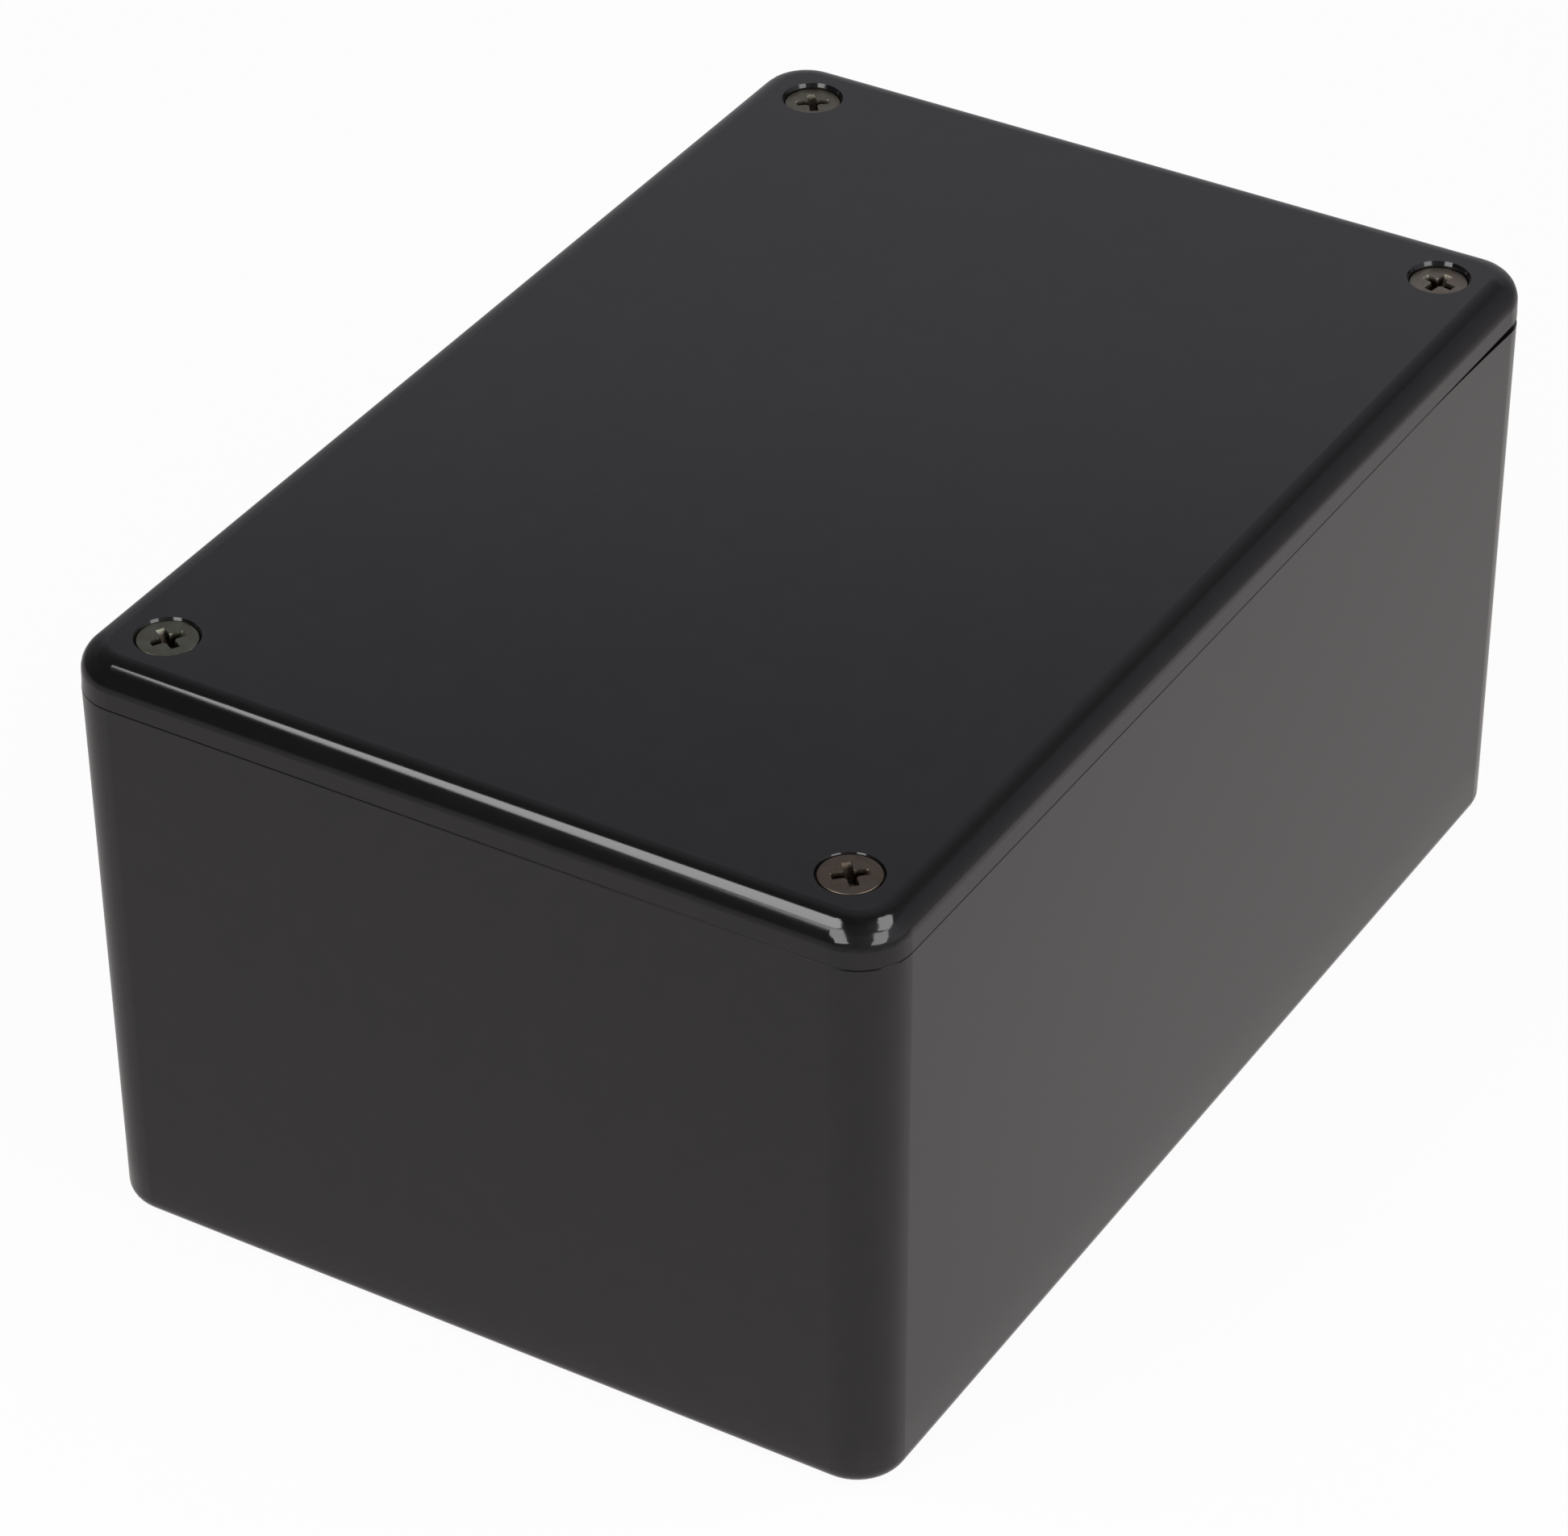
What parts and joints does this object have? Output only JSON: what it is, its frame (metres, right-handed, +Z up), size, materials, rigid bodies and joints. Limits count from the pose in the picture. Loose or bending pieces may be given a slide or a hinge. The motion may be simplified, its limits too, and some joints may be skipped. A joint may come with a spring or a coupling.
{
  "type": "plastic project box",
  "caption": "Rectangular moulded plastic project box with rounded corners and a shallow lid held by countersunk screws, with board guides and stand-offs inside.",
  "frame": {"origin": "centre of the underside", "axes": "+X along the length, +Y across the width towards the back, +Z up through the lid"},
  "size_m": [0.12, 0.08, 0.059],
  "materials": {
    "base_plastic": "satin gloss black, faintly streaked over the board guides, with a little dust",
    "lid_plastic": "gloss black with a little dust",
    "screw_metal": "black nickel plated, worn bright at the edges",
    "insert_brass": "plain turned brass"
  },
  "bodies": {
    "base": {"box_base": "base_plastic", "insert_front_left": "insert_brass", "insert_front_right": "insert_brass", "insert_back_left": "insert_brass", "insert_back_right": "insert_brass"},
    "lid": {"lid": "lid_plastic"},
    "screw_front_left": {"screw_front_left": "screw_metal"},
    "screw_front_right": {"screw_front_right": "screw_metal"},
    "screw_back_left": {"screw_back_left": "screw_metal"},
    "screw_back_right": {"screw_back_right": "screw_metal"}
  },
  "joints": [
    {"name": "lid_lift", "type": "slide", "parent": "base", "child": "lid", "axis": [0, 0, 1], "range_m": [0, 0.06]},
    {"name": "unscrew_front_left", "type": "slide", "parent": "lid", "child": "screw_front_left", "axis": [0, 0, 1], "range_m": [0, 0.02]},
    {"name": "unscrew_front_right", "type": "slide", "parent": "lid", "child": "screw_front_right", "axis": [0, 0, 1], "range_m": [0, 0.02]},
    {"name": "unscrew_back_left", "type": "slide", "parent": "lid", "child": "screw_back_left", "axis": [0, 0, 1], "range_m": [0, 0.02]},
    {"name": "unscrew_back_right", "type": "slide", "parent": "lid", "child": "screw_back_right", "axis": [0, 0, 1], "range_m": [0, 0.02]}
  ]
}
